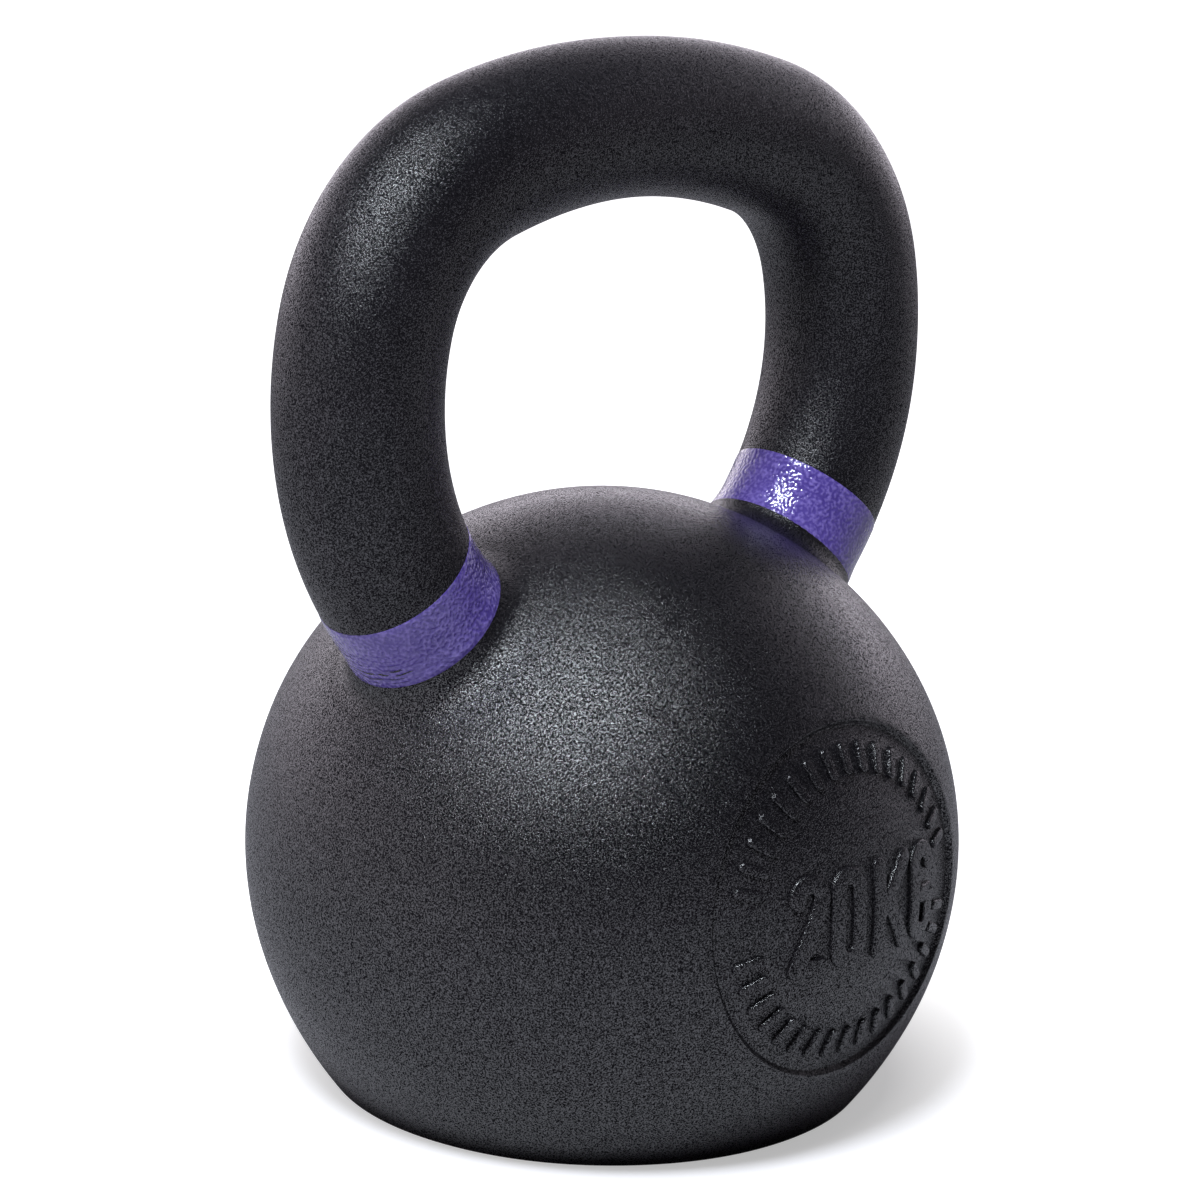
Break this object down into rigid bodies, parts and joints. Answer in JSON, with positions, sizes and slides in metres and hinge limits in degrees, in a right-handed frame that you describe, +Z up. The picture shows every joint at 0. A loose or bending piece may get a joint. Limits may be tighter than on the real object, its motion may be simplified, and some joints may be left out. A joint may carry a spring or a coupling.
{
  "type": "kettlebell",
  "caption": "Cast-iron kettlebell with a round ball, a flat foot, a thick closed handle on two leaning horns, painted colour bands and a sunken badge with raised marks.",
  "frame": {"origin": "centre of the flat foot, on the surface that the kettlebell stands on", "axes": "+Z up through the ball and the handle, X across the handle from horn to horn, -Y out through the badge"},
  "size_m": [0.1968, 0.1706, 0.2491],
  "materials": {
    "coated_iron": "solid grey iron casting under a matt black powder coat with a fine orange-peel grain",
    "badge_relief": "raised cast marks under the same matt black powder coat",
    "band_paint": "thin glossy violet enamel brushed over the coated casting"
  },
  "bodies": {
    "root": {"bell": "coated_iron", "left_horn": "coated_iron", "right_horn": "coated_iron", "left_shoulder": "coated_iron", "right_shoulder": "coated_iron", "grip": "coated_iron", "left_band": "band_paint", "right_band": "band_paint", "weight_figures": "badge_relief", "unit_letters": "badge_relief", "upper_border_bars": "badge_relief", "lower_border_bars": "badge_relief"}
  },
  "joints": []
}
